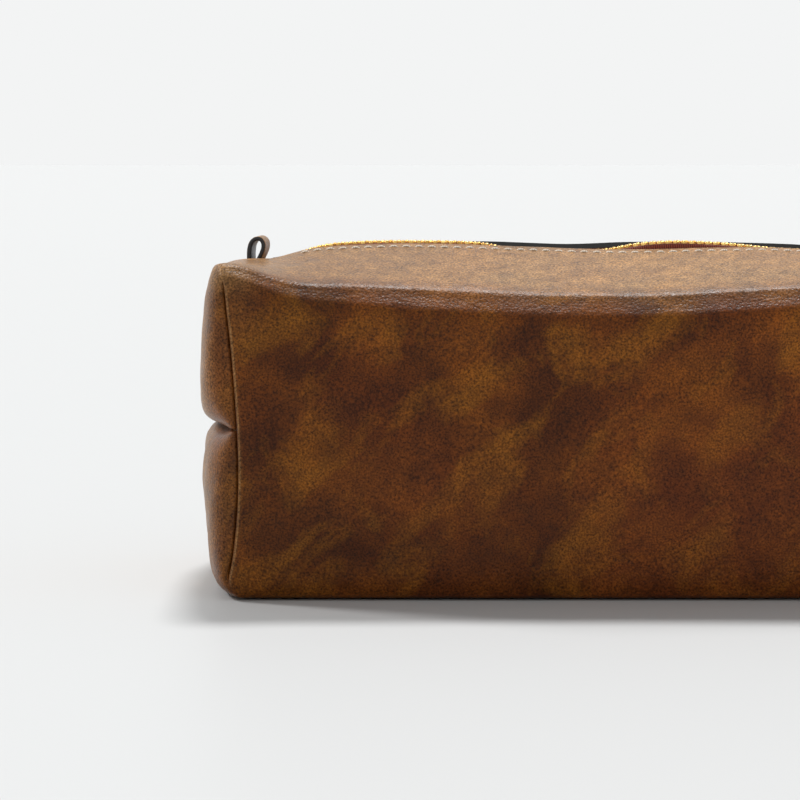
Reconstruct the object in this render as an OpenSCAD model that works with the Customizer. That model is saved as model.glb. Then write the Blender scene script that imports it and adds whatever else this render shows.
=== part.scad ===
/* [Bag] */
// Length over the two bulging ends
bag_length = 240; // [200:1:300]
// Depth from front wall to back wall
bag_depth = 115; // [95:1:140]
// Thickness of the leather
leather_t = 1.6; // [1.2:0.1:2.2]
// Height of the four top corners
corner_h = 101.5; // [92:0.5:120]
// Height of the long top edges halfway along, where they sag
edge_h = 95.5; // [86:0.5:112]
// How far each long wall swells outwards halfway up
wall_bulge = 1; // [0:0.1:3]
// Radius of the roll from a wall into the base
base_roll_r = 8; // [6:0.5:12]
// Reach of the roll from a wall into the top
top_roll_r = 10; // [6:0.5:14]
// Air left between pieces of leather
seam_gap = 0.3; // [0.2:0.05:0.5]

/* [Ends] */
// How far an end pillow stands out past the wall corners
end_bulge = 10; // [6:0.5:14]
// How far the mid seam pulls the upright seams inwards
crease_pinch = 4; // [0:0.5:8]
// Height of the sewn seam across each end
end_seam_h = 52.4; // [40:0.1:62]
// Depth of the seam allowance turned inside
seam_allowance = 6; // [4:0.5:10]
// Length of end leather that lies on the top
top_return = 12; // [11:0.5:20]

/* [Zipper] */
// Height of the middle of the chain halfway along
zip_h = 104.6; // [100:0.1:125]
// How much lower the chain lies near its ends
zip_end_drop = 1.6; // [0:0.1:3]
// Gap between the two leather lips
lip_gap = 12; // [11:0.1:16]
// Pitch of the teeth on one tape
tooth_pitch = 2.54; // [2.4:0.01:3]
// Thickness of the chain
chain_t = 2.4; // [2:0.1:2.8]
// Width of one tape
tape_w = 14; // [11:0.5:20]
// Thickness of the tape
tape_t = 0.6; // [0.4:0.05:0.8]
// Length of the slider
slider_l = 13; // [11:0.5:16]
// Clearance of the chain inside the slider
slider_clear = 0.3; // [0.2:0.05:0.5]
// Length of the pull from its pivot
pull_l = 16.5; // [14:0.5:17.5]
// Width of the pull
pull_w = 6.4; // [5.4:0.1:7.4]
// Radius of the hole near the pull's tip
pull_hole_r = 1.6; // [1:0.1:2]

/* [Stitching] */
// Distance from one topstitch to the next
stitch_pitch = 4; // [3:0.1:6]
// Length of thread that shows in one stitch
stitch_l = 2.7; // [2:0.1:2.9]
// Radius of the thread
thread_r = 0.35; // [0.25:0.05:0.5]
// Distance of the topstitch from the cut edge of the lip
stitch_inset = 3.5; // [2.5:0.1:5]

/* [Loop tabs] */
// Width across the legs of a loop
loop_w = 7.8; // [7.2:0.1:12]
// Height of a loop
loop_h = 7.4; // [6.5:0.1:14]
// Thickness of the loop strap
loop_t = 1.5; // [1:0.1:1.6]
// Width of the loop strap
loop_strap_w = 12; // [8:0.5:20]

/* [Hidden] */

leather = "saddlebrown";
brass = "goldenrod";
cream = "wheat";
rust = "brown";
edge_ink = "black";

// Lengths along the bag
half_l = bag_length / 2;
wall_end = half_l - end_bulge;
lip_end = wall_end - top_return;
base_end = wall_end - seam_allowance;
pillow_x = half_l - leather_t / 2;

// Section of a long wall, as distance out from the middle and height
wall_w = bag_depth / 2 - leather_t / 2 - wall_bulge;
fold_lift = 18;
fold_z = leather_t / 2;
roll_c_w = wall_w - base_roll_r;
roll_c_z = fold_z + base_roll_r * cos(fold_lift);
fold_w = roll_c_w + base_roll_r * sin(fold_lift);
roll_start = fold_lift + (leather_t / 2 + seam_gap) / base_roll_r * 180 / PI;
lip_edge_w = lip_gap / 2;

// Zipper places
zip_end_z = zip_h - zip_end_drop;
chain_end = lip_end - 1;
nose_inset = 0.5;
nose_x = lip_end - nose_inset;
tail_x = nose_x - slider_l;
post_l = 2.4;
post_w = 1.8;
plate_t = 0.9;
plate_bevel = 1;
drop_to = tail_x - pull_l + slider_l / 2;
drop_run = 24;
drop_from = drop_to - drop_run;
lip_below = 0.4;
head_w = 0.75;
leg_w = 3.2;
slot_w = 0.95;
tape_edge_in = 0.1;
tape_edge_w = slot_w + tape_edge_in;
plate_z = chain_t / 2 + slider_clear;
flange_w = 0.7;
slider_w = leg_w + slider_clear + flange_w + tape_edge_in;
tape_clear = 0.2;
slot_h = tape_t / 2 + tape_clear;
end_step = 3.4;
stop_gap = 0.4;
stop_l = 1.6;
tooth_gap = 0.12;
head_bevel = 0.25;
stitch_lift = 0.25;

// Pull places
pivot_x = tail_x + slider_l / 2;
pin_r = 0.7;
pin_clear = 0.35;
pivot_z = zip_end_z + plate_z + plate_t + pin_clear + pin_r;
bridge_w = 2;
bridge_t = 0.9;
bridge_half = 3.4;
pull_t = 1.2;
window_l = 5;

function smooth(a, b, x) = let (t = max(0, min(1, (x - a) / (b - a)))) t * t * (3 - 2 * t);
function cubic(a, b, c, d, t) =
    pow(1 - t, 3) * a + 3 * pow(1 - t, 2) * t * b + 3 * (1 - t) * t * t * c + t * t * t * d;

// Height of the chain, of the virtual top corner of a wall and of the lip's cut edge
function zip_z(x) = zip_h - zip_end_drop * smooth(drop_from, drop_to, abs(x));
function top_corner_z(x) = edge_h + (corner_h - edge_h) * pow(x / wall_end, 2);
function lip_edge_z(x) = zip_z(x) - lip_below;

// Middle of the lip's leather at a distance w out from the zipper's centre line
function lip_z(x, w) =
    let (zk = top_corner_z(x))
    zk + (lip_edge_z(x) - zk) * (wall_w - w) / (wall_w - lip_edge_w);

// Half length of a wall, drawn in at the end seam
function crease_x(z) = wall_end - crease_pinch * pow(sin(180 * min(1, max(0, z / corner_h))), 2);

// Rolled base edge, straight wall and rolled top edge, from v = 0 at the fold to v = 1 at the lip
function wall_section(x, v) =
    let (
        zk = top_corner_z(x),
        run = wall_w - lip_edge_w,
        lip_dir = [-run, lip_edge_z(x) - zk] / norm([run, lip_edge_z(x) - zk]),
        low = [wall_w, roll_c_z],
        high = [wall_w, zk - top_roll_r],
        corner = [wall_w, zk],
        out = corner + top_roll_r * lip_dir
    )
    v < 0.25 ? let (a = roll_start + (90 - roll_start) * v / 0.25)
        [roll_c_w + base_roll_r * sin(a), roll_c_z - base_roll_r * cos(a)] :
    v < 0.6 ? let (t = (v - 0.25) / 0.35)
        low + (high - low) * t + [wall_bulge * sin(180 * t), 0] :
    let (t = (v - 0.6) / 0.4)
        pow(1 - t, 2) * high + 2 * (1 - t) * t * corner + t * t * out;

function wall_point(u, v) =
    let (
        rise = wall_section(0, v)[1],
        x = u * crease_x(rise),
        p = wall_section(x, v)
    )
    [x, -p[0], p[1]];

function lip_point(u, v) =
    let (
        x = u * lip_end,
        start = wall_section(x, 1)[0] - seam_gap,
        w = start + (lip_edge_w - start) * v
    )
    [x, -w, lip_z(x, w)];

// Path of an end pillow at the middle of the bag, as length and height
seam_side = leather_t / 2 + seam_gap / 2;
pillow_seam_x = wall_end + leather_t;
flange_end = pillow_seam_x - seam_allowance;
end_top_z = zip_end_z - end_step;
shoulder_share = 0.64;
shoulder_x = pillow_x - 1.6;
shoulder_lead = [2.4, -13];
top_lead = 1.5;
corner_round = [-1.9, -4];
knee_share = 0.38;
knee_x = pillow_x - 2;
knee_lead = [1.6, 0.35 * end_seam_h];
foot_lead = 8;
heel = [-1.4, 6];
seam_lead = 4.3;
skirt = 0.45;
belly = 2 * skirt;
function flange(v, seam) = [pillow_seam_x - seam_allowance * (v - belly) / (1 - belly), seam];
function upper_path(v, top) =
    let (
        shoulder = [shoulder_x, end_seam_h + shoulder_share * (top - end_seam_h)],
        seam = end_seam_h + seam_side
    )
    v < skirt ? cubic([lip_end + seam_gap, top], [wall_end + top_lead, top],
        [shoulder_x, top] + corner_round, shoulder, v / skirt) :
    v < belly ? cubic(shoulder, shoulder + shoulder_lead,
        [shoulder_x + seam_lead, seam], [pillow_seam_x, seam], (v - skirt) / skirt) :
    flange(v, seam);
function lower_path(v) =
    let (
        knee = [knee_x, knee_share * end_seam_h],
        seam = end_seam_h - seam_side,
        foot = [base_end + seam_gap, fold_z]
    )
    v < skirt ? cubic(foot, foot + [foot_lead, 0], [knee_x, 0] + heel, knee, v / skirt) :
    v < belly ? cubic(knee, knee + knee_lead,
        [knee_x + seam_lead, seam], [pillow_seam_x, seam], (v - skirt) / skirt) :
    flange(v, seam);

// Half width of an end, kept inside the rolled edges of the walls
end_in = leather_t + 1.5 * seam_gap;
end_half_w = wall_w - end_in;
top_low_z = corner_h - top_roll_r;
function quarter(r, h) = sqrt(max(0, r * r - h * h));
function low_half_w(z) = z > roll_c_z ? end_half_w :
    roll_c_w + quarter(base_roll_r - end_in, roll_c_z - z);
function high_half_w(z) = z < top_low_z ? end_half_w :
    wall_w - top_roll_r - seam_gap + quarter(top_roll_r - end_in + seam_gap, z - top_low_z);

// A point of an end, from s = -1 at one upright seam to s = 1 at the other
edge_share = 0.15;
function end_point(p, s, half_w) =
    let (
        swell = max(edge_share, cos(90 * s) * sqrt(1 + pow(sin(90 * s), 2))),
        across = (1 - edge_share) * sin(90 * s) + edge_share * s,
        seam_x = crease_x(p[1]) - leather_t
    )
    [p[0] - max(0, p[0] - seam_x) * (1 - swell), half_w * across, p[1]];
function upper_point(s, v) =
    let (
        side = pow(sin(90 * s), 2),
        top = end_top_z + (corner_h - leather_t - end_top_z) * side,
        p = upper_path(v, top - end_in * pow(side, 6))
    )
    end_point(p, s, high_half_w(p[1]));
function lower_point(s, v) = let (p = lower_path(v)) end_point(p, s, low_half_w(p[1]));

// Middle of a tape: under the lip, then up to the chain
tape_low_w = lip_edge_w - seam_gap;
tape_high_w = slider_w + tape_clear;
function tape_point(u, v) =
    let (
        x = u * lip_end,
        w = tape_edge_w + tape_w * v,
        under = lip_z(x, max(w, tape_low_w)) - leather_t / 2 - tape_t / 2 - seam_gap,
        up = smooth(tape_low_w, tape_high_w, w)
    )
    [x, -w, under + (zip_z(x) - under) * up];

// A sheet of even thickness about the middle surface f(u, v)
module sheet(f, us, vs, t) {
    nu = len(us);
    nv = len(vs);
    e = 0.002;
    function normal(u, v) =
        let (n = cross(f(u + e, v) - f(u - e, v), f(u, v + e) - f(u, v - e))) n / norm(n);
    function at(i, j) = i * nv + j;
    n_side = nu * nv;
    points = [
        for (side = [0.5, -0.5])
            for (u = us)
                for (v = vs)
                    f(u, v) + side * t * normal(u, v)
    ];
    faces = [
        for (i = [0:nu - 2])
            for (j = [0:nv - 2])
                each [
                    [at(i, j), at(i, j + 1), at(i + 1, j + 1)],
                    [at(i, j), at(i + 1, j + 1), at(i + 1, j)],
                    n_side * [1, 1, 1] + [at(i, j), at(i + 1, j + 1), at(i, j + 1)],
                    n_side * [1, 1, 1] + [at(i, j), at(i + 1, j), at(i + 1, j + 1)]
                ],
        for (i = [0:nu - 2])
            each [
                [at(i, 0), at(i + 1, 0), at(i + 1, 0) + n_side, at(i, 0) + n_side],
                [at(i + 1, nv - 1), at(i, nv - 1), at(i, nv - 1) + n_side, at(i + 1, nv - 1) + n_side]
            ],
        for (j = [0:nv - 2])
            each [
                [at(0, j + 1), at(0, j), at(0, j) + n_side, at(0, j + 1) + n_side],
                [at(nu - 1, j), at(nu - 1, j + 1), at(nu - 1, j + 1) + n_side, at(nu - 1, j) + n_side]
            ]
    ];
    polyhedron(points, faces);
}

function steps(a, b, n) = [for (i = [0:n]) a + (b - a) * i / n];

module front_half_wall() {
    sheet(function (u, v) wall_point(u, v), steps(-1, 1, 16), steps(0, 1, 20), leather_t);
}

module front_half_lip() {
    sheet(function (u, v) lip_point(u, v), steps(-1, 1, 40), steps(0, 1, 4), leather_t);
}

module base_panel() {
    color(leather) {
        translate([-base_end, -fold_w, 0]) cube([2 * base_end, 2 * fold_w, leather_t]);
        for (side = [-1, 1])
            translate([-base_end, side * fold_w, fold_z])
                rotate([0, 90, 0]) cylinder(r = leather_t / 2, h = 2 * base_end, $fn = 48);
    }
}

module front_wall() { color(leather) front_half_wall(); }

module back_wall() { color(leather) mirror([0, 1, 0]) front_half_wall(); }

module front_lip() { color(leather) front_half_lip(); }

module back_lip() { color(leather) mirror([0, 1, 0]) front_half_lip(); }

module end_upper() {
    color(leather)
        sheet(function (s, v) upper_point(s, v), steps(1, -1, 16), steps(0, 1, 20), leather_t);
}

module end_lower() {
    color(leather)
        sheet(function (s, v) lower_point(s, v), steps(-1, 1, 16), steps(0, 1, 20), leather_t);
}

module right_end_upper() { end_upper(); }

module right_end_lower() { end_lower(); }

module left_end_upper() { mirror([1, 0, 0]) end_upper(); }

module left_end_lower() { mirror([1, 0, 0]) end_lower(); }

module half_tape() {
    rise = steps(tape_low_w, tape_high_w, 3) - tape_edge_w * [1, 1, 1, 1];
    across = concat([1, 0.6], [for (r = rise) r / tape_w], [0]);
    color(rust)
        sheet(function (u, v) tape_point(u, 1 - v), steps(1, -1, 44), [for (a = across) 1 - a], tape_t);
}

module zipper_tape_front() { half_tape(); }

module zipper_tape_back() { mirror([0, 1, 0]) half_tape(); }

// One tooth: a head past the centre line and two legs that grip the tape
module tooth() {
    thick = tooth_pitch / 2 - tooth_gap;
    translate([-thick / 2, 0, 0])
        rotate([90, 0, 90])
            linear_extrude(thick)
                polygon([
                    [head_w, head_bevel - chain_t / 2], [head_w, chain_t / 2 - head_bevel],
                    [-slot_w, chain_t / 2], [-leg_w, chain_t / 2], [-leg_w, slot_h],
                    [-slot_w, slot_h], [-slot_w, -slot_h], [-leg_w, -slot_h],
                    [-leg_w, -chain_t / 2], [-slot_w, -chain_t / 2]
                ]);
}

teeth_from = -chain_end + post_l + stop_l + stop_gap;
teeth_to = nose_x - post_l - stop_l + tape_clear;
teeth_n = floor((teeth_to - teeth_from) / tooth_pitch);
module tooth_row(shift) {
    color(brass)
        for (i = [0:teeth_n - 1])
            let (x = teeth_from + (i + shift) * tooth_pitch)
                translate([x, 0, zip_z(x)]) tooth();
}

module teeth_front() { tooth_row(0); }

module teeth_back() { mirror([0, 1, 0]) tooth_row(0.5); }

// Small clamps on the tapes that stop the slider's nose
stop_in = post_w / 2 + stop_gap;
module top_stops() {
    stop_w = leg_w - tape_clear - stop_in;
    stop_h = chain_t - tape_clear;
    color(brass)
        for (side = [0, 1])
            mirror([0, side, 0])
                translate([nose_x - stop_l - stop_gap, -stop_in, zip_end_z])
                    rotate([90, 0, 90])
                        linear_extrude(stop_l)
                            difference() {
                                translate([-stop_w, -stop_h / 2]) square([stop_w, stop_h]);
                                translate([-leg_w, -slot_h]) square([leg_w, 2 * slot_h]);
                            }
}

// Clip that joins the two tapes where the slider ends its run
stop_x = teeth_from - tooth_pitch / 2 - stop_gap;
module bottom_stop() {
    color(brass)
        translate([stop_x - post_l, 0, zip_end_z])
            rotate([90, 0, 90])
                linear_extrude(post_l)
                    difference() {
                        square([2 * leg_w, chain_t], center = true);
                        for (side = [-1, 1])
                            translate([side * (slot_w + leg_w), 0])
                                square([2 * leg_w, 2 * slot_h], center = true);
                    }
}

// Two plates joined by a post at the nose, with flanges that hold the chain
module slider_body() {
    tail_w = slider_w - 0.5;
    flange_h = plate_z - slot_h;
    neck_x = nose_x - 3 * plate_bevel;
    inner_w = tail_w - flange_w / 2;
    color(brass)
        translate([0, 0, zip_end_z]) {
            for (side = [0, 1])
                mirror([0, 0, side])
                    translate([0, 0, plate_z])
                        linear_extrude(plate_t)
                            polygon([
                                [tail_x, plate_bevel - tail_w], [tail_x + plate_bevel, -tail_w],
                                [neck_x, -slider_w], [nose_x, 2 * plate_bevel - slider_w],
                                [nose_x, slider_w - 2 * plate_bevel], [neck_x, slider_w],
                                [tail_x + plate_bevel, tail_w], [tail_x, tail_w - plate_bevel]
                            ]);
            for (side = [0, 1])
                mirror([0, side, 0])
                    translate([0, 0, plate_z - flange_h])
                        linear_extrude(flange_h + plate_t / 2)
                            polygon([
                                [tail_x + plate_bevel, tail_w], [tail_x + plate_bevel, inner_w],
                                [neck_x, slider_w - flange_w], [neck_x, slider_w]
                            ]);
            translate([nose_x - post_l, -post_w / 2, -plate_z - plate_t / 2])
                cube([post_l, post_w, 2 * plate_z + plate_t]);
        }
}

// Arch over the slider that the pull hangs from
module slider_bridge() {
    foot_z = zip_end_z + plate_z + plate_t;
    arch_h = pivot_z + pin_r + pin_clear - foot_z;
    color(brass)
        translate([pivot_x, bridge_w / 2, foot_z])
            rotate([90, 0, 0])
                linear_extrude(bridge_w)
                    difference() {
                        translate([-bridge_half, 0]) square([2 * bridge_half, arch_h + bridge_t]);
                        translate([-bridge_half + bridge_t, -1])
                            square([2 * (bridge_half - bridge_t), arch_h + 1]);
                    }
}

// Flat pull with a crossbar under the arch, a window round it and a hole near its tip
module pull_tab() {
    tip_r = pull_w / 2;
    arm_w = (pull_w - bridge_w) / 2 - pin_clear;
    color(brass)
        translate([pivot_x, 0, pivot_z]) {
            rotate([90, 0, 0])
                cylinder(r = pin_r, h = pull_w - 2 * arm_w, center = true, $fn = 32);
            translate([0, 0, -pull_t / 2])
                linear_extrude(pull_t)
                    difference() {
                        union() {
                            translate([-pull_l + tip_r, -pull_w / 2])
                                square([pull_l - tip_r + pin_r, pull_w]);
                            translate([-pull_l + tip_r, 0]) circle(r = tip_r, $fn = 48);
                        }
                        translate([-window_l, -pull_w / 2 + arm_w])
                            square([window_l + 2 * pin_r, pull_w - 2 * arm_w]);
                        translate([-pull_l + tip_r, 0]) circle(r = pull_hole_r, $fn = 48);
                    }
        }
}

// A row of stitches that lies on the lip
stitch_w = lip_edge_w + stitch_inset;
stitch_n = floor((2 * lip_end - stitch_l) / stitch_pitch);
module stitch_row() {
    lift = leather_t / 2 + thread_r + stitch_lift;
    color(cream)
        for (i = [0:stitch_n])
            let (x = (i - stitch_n / 2) * stitch_pitch)
                translate([x, -stitch_w, lip_z(x, stitch_w) + lift])
                    rotate([0, 90, 0]) cylinder(r = thread_r, h = stitch_l, center = true, $fn = 16);
}

module topstitch_front() { stitch_row(); }

module topstitch_back() { mirror([0, 1, 0]) stitch_row(); }

// Upright loop of strap at the end of the zipper
loop_x = lip_end + seam_gap + nose_inset + loop_w / 2;
loop_z = end_top_z + leather_t / 2 + seam_gap;
module loop_tab() {
    r = loop_w / 2;
    color(edge_ink)
        translate([loop_x, loop_strap_w / 2, loop_z])
            rotate([90, 0, 0])
                linear_extrude(loop_strap_w)
                    difference() {
                        union() {
                            translate([0, loop_h - r]) circle(r = r, $fn = 64);
                            translate([-r, 0]) square([loop_w, loop_h - r]);
                        }
                        translate([0, loop_h - r]) circle(r = r - loop_t, $fn = 64);
                        translate([-r + loop_t, -1]) square([loop_w - 2 * loop_t, loop_h - r + 1]);
                    }
}

module right_loop_tab() { loop_tab(); }

module left_loop_tab() { mirror([1, 0, 0]) loop_tab(); }

// Stitches across the end leather that hold the loop's tails and the tape ends
tab_stitch_n = floor(loop_strap_w / stitch_pitch);
module tab_stitches() {
    x = loop_x + loop_w / 2 + stitch_pitch * 0.3;
    lift = leather_t / 2 + thread_r;
    color(cream)
        for (i = [0:tab_stitch_n])
            translate([x, (i - tab_stitch_n / 2) * stitch_pitch, end_top_z + lift])
                rotate([90, 0, 0]) cylinder(r = thread_r, h = stitch_l, center = true, $fn = 16);
}

module right_tab_stitches() { tab_stitches(); }

module left_tab_stitches() { mirror([1, 0, 0]) tab_stitches(); }

// Stitches on both faces of the seam allowance inside an end
seam_stitch_n = floor(2 * (end_half_w - seam_allowance) / stitch_pitch);
module end_seam_thread() {
    x = flange_end + seam_allowance / 3;
    lift = seam_side + leather_t / 2 + thread_r + stitch_lift / 2;
    color(cream)
        for (i = [0:seam_stitch_n])
            for (side = [-1, 1])
                translate([x, (i - seam_stitch_n / 2) * stitch_pitch, end_seam_h + side * lift])
                    rotate([90, 0, 0]) cylinder(r = thread_r, h = stitch_l, center = true, $fn = 16);
}

module right_end_seam_thread() { end_seam_thread(); }

module left_end_seam_thread() { mirror([1, 0, 0]) end_seam_thread(); }

base_panel();
front_wall();
back_wall();
front_lip();
back_lip();
left_end_upper();
left_end_lower();
right_end_upper();
right_end_lower();
zipper_tape_front();
zipper_tape_back();
teeth_front();
teeth_back();
top_stops();
bottom_stop();
slider_body();
slider_bridge();
pull_tab();
topstitch_front();
topstitch_back();
left_loop_tab();
right_loop_tab();
left_tab_stitches();
right_tab_stitches();
left_end_seam_thread();
right_end_seam_thread();
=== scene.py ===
import math

import bmesh
import bpy
import numpy as np
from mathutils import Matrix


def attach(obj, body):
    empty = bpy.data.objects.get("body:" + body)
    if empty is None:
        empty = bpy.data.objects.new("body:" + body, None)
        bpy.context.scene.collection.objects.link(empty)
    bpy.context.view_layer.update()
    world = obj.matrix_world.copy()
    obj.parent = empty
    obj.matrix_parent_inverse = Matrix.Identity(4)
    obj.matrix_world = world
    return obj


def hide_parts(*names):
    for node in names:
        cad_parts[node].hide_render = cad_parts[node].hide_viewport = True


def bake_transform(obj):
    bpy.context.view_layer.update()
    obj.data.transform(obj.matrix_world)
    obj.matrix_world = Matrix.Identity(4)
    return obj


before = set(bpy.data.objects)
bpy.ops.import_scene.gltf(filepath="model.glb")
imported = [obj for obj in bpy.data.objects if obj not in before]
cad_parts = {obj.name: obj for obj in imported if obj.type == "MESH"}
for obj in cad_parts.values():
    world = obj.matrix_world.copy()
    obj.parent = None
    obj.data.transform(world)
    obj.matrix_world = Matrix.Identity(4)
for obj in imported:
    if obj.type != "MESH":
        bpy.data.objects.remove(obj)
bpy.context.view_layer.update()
mm = 0.001
print("frame loaded,", len(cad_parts), "nodes")


def hexColour(code):
    channels = [int(code[i:i + 2], 16) / 255 for i in (1, 3, 5)]
    return (*[c / 12.92 if c <= 0.04045 else ((c + 0.055) / 1.055) ** 2.4 for c in channels], 1.0)


def addNode(material, kind, settings=None, links=None):
    node = material.node_tree.nodes.new(kind)
    for name, value in (settings or {}).items():
        if isinstance(name, str) and hasattr(node, name):
            setattr(node, name, value)
        else:
            node.inputs[name].default_value = value
    for socket, source in (links or {}).items():
        material.node_tree.links.new(source, node.inputs[socket])
    return node


def newMaterial(name):
    material = bpy.data.materials.new(name)
    material.use_nodes = True
    material.node_tree.nodes.clear()
    return material


def toneRamp(material, source, stops):
    node = addNode(material, "ShaderNodeValToRGB", None, {"Fac": source})
    ramp = node.color_ramp
    while len(ramp.elements) < len(stops):
        ramp.elements.new(0.5)
    for element, (place, code) in zip(ramp.elements, stops):
        element.position = place
        element.color = hexColour(code)
    return node.outputs["Color"]


def stain(material, under, code, amount):
    # one colour laid over another by an amount
    mix = addNode(material, "ShaderNodeMix", {"data_type": "RGBA", 7: hexColour(code)}, {0: amount, 6: under})
    return mix.outputs[2]


def multiply(material, a, b):
    return addNode(material, "ShaderNodeMath", {"operation": "MULTIPLY"}, {0: a, 1: b}).outputs["Value"]


def waveScale(spacing):
    # scale of a wave texture whose bands lie that many mm apart
    return 1000 / spacing / 6.283 * 2


def surface(material, settings, links):
    shader = addNode(material, "ShaderNodeBsdfPrincipled", settings, links)
    addNode(material, "ShaderNodeOutputMaterial", None, {"Surface": shader.outputs["BSDF"]})
    return material


def smoothStep(a, b, x):
    t = np.clip((x - a) / (b - a), 0, 1)
    return t * t * (3 - 2 * t)


def along(points, x, reach=3.0):
    # a soft line through places along the bag, in mm
    xs, ys = zip(*points)
    return sum(np.interp(x + d, xs, ys) for d in np.linspace(-reach, reach, 9)) / 9


def ripple(p, size, seed):
    # soft uneven waves about that size in mm, from about -1 to 1
    rng = np.random.default_rng(seed)
    total = np.zeros(p.shape[:-1])
    for i in range(7):
        way = rng.normal(size=3)
        way = way / np.linalg.norm(way)
        total += np.sin(p @ way * 2 * np.pi / (size * rng.uniform(0.7, 1.5)) + rng.uniform(0, 6.28))
    return total / 4


def splineBasis(t, count):
    # weights of a clamped cubic B-spline with that many control points
    degree = 3
    knots = np.concatenate([np.zeros(degree), np.linspace(0, 1, count - degree + 1), np.ones(degree)])
    t = np.clip(t, 0, 1 - 1e-9)
    basis = [np.where((knots[i] <= t) & (t < knots[i + 1]), 1.0, 0.0) for i in range(len(knots) - 1)]
    for d in range(1, degree + 1):
        step = []
        for i in range(len(knots) - 1 - d):
            left = knots[i + d] - knots[i]
            right = knots[i + d + 1] - knots[i + 1]
            a = (t - knots[i]) / left * basis[i] if left > 0 else 0 * t
            b = (knots[i + d + 1] - t) / right * basis[i + 1] if right > 0 else 0 * t
            step.append(a + b)
        basis = step
    return np.stack(basis, axis=1)


def deselect():
    if bpy.context.mode != "OBJECT":
        bpy.ops.object.mode_set(mode="OBJECT")
    bpy.ops.object.select_all(action="DESELECT")


def activate(piece):
    deselect()
    piece.select_set(True)
    bpy.context.view_layer.objects.active = piece


def dress(piece, *materials):
    for material in materials:
        piece.data.materials.append(material)


def smooth(piece):
    activate(piece)
    bpy.ops.object.shade_smooth_by_angle(angle=math.radians(50))


def applyAll(piece):
    activate(piece)
    for modifier in list(piece.modifiers):
        bpy.ops.object.modifier_apply(modifier=modifier.name)


def keepRest(piece):
    # each point remembers its place at rest, so the leather's marks stay put when the bag opens
    count = len(piece.data.vertices)
    place = np.zeros(count * 3)
    piece.data.vertices.foreach_get("co", place)
    piece.data.attributes.new("rest", "FLOAT_VECTOR", "POINT").data.foreach_set("vector", place)


def clothGrid(name, points, *materials):
    # a grid laid over points in mm, rows by columns, facing the side its columns and rows turn to
    rows, cols = points.shape[:2]
    deselect()
    bpy.ops.mesh.primitive_grid_add(x_subdivisions=cols - 1, y_subdivisions=rows - 1, size=1)
    piece = bpy.context.object
    piece.name = piece.data.name = name
    piece.data.vertices.foreach_set("co", (points * mm).reshape(-1))
    piece.data.update()
    dress(piece, *materials)
    return piece


def thicken(piece, thickness, inner=0, rim=0):
    wall = piece.modifiers.new("thickness", "SOLIDIFY")
    wall.thickness = thickness * mm
    wall.offset = -1
    wall.use_rim = True
    wall.material_offset = inner
    wall.material_offset_rim = rim
    applyAll(piece)


def fromParts(name, verts, faces, material):
    mesh = bpy.data.meshes.new(name)
    mesh.from_pydata(verts, [], faces)
    mesh.update()
    piece = bpy.data.objects.new(name, mesh)
    bpy.context.scene.collection.objects.link(piece)
    dress(piece, material)
    smooth(piece)
    return piece


def template(piece):
    # the points and faces of a modelled shape, which then goes
    points = np.array([v.co[:] for v in piece.data.vertices])
    faces = [list(p.vertices) for p in piece.data.polygons]
    mesh = piece.data
    bpy.data.objects.remove(piece)
    bpy.data.meshes.remove(mesh)
    return points, faces


# Camera: square to the front wall, a little above it, with the right end out of the frame
cameraPlace = {"x": -0.058, "y": -0.95, "tilt": 5.0, "aimZ": 0.061, "frontY": -0.0575, "width": 0.240}
reach = cameraPlace["frontY"] - cameraPlace["y"]
tilt = math.radians(cameraPlace["tilt"])
cameraData = bpy.data.cameras.new("camera")
cameraData.sensor_fit = "HORIZONTAL"
cameraData.angle = 2 * math.atan(cameraPlace["width"] / 2 / (reach / math.cos(tilt)))
camera = bpy.data.objects.new("camera", cameraData)
camera.location = (cameraPlace["x"], cameraPlace["y"], cameraPlace["aimZ"] + reach * math.tan(tilt))
camera.rotation_euler = (math.radians(90) - tilt, 0, 0)
bpy.context.scene.collection.objects.link(camera)
bpy.context.scene.camera = camera
print("camera placed")


# Oil-tanned pull-up leather: waxy brown hide that goes paler where it is stretched, with painted light and sheen laid
# over the same pale colour, and fine pebble grain
pullUp = {
    "dark": "#4C240A", "mid": "#66350F", "warm": "#7C4413", "amber": "#A0651C", "red": "#6C3114", "wornAndLit": "#B58C5C",
    "patchMm": 26, "streakMm": 15, "cloudMm": 5, "speckMm": 0.62, "grainMm": 0.9, "slant": -50, "stretch": 1.7,
    "roughness": 0.35, "specular": 0.14, "grain": 0.36,
}


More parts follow.
